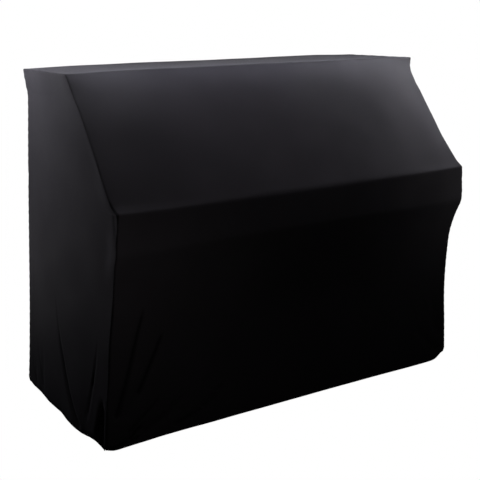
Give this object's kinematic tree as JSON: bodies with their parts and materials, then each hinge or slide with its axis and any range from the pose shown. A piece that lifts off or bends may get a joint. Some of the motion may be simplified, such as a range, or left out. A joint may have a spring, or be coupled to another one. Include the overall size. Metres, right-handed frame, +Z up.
{
  "type": "piano cover",
  "caption": "Fitted stretch-knit cover for an upright piano: one long panel over the front, slope, lid and back, and a shaped panel sewn into each end.",
  "frame": {"origin": "on the underside of the top, in the middle of its width and depth, where the piano's lid carries the cover", "axes": "+X to the right seen from the front, the front faces -Y, +Z up"},
  "size_m": [1.5657, 0.7225, 1.2327],
  "materials": {
    "stretch_knit": "black stretch knit, matt, with a faint cool sheen where the light grazes it"
  },
  "bodies": {
    "root": {"body_panel": "stretch_knit", "left_panel": "stretch_knit", "right_panel": "stretch_knit"}
  },
  "joints": []
}
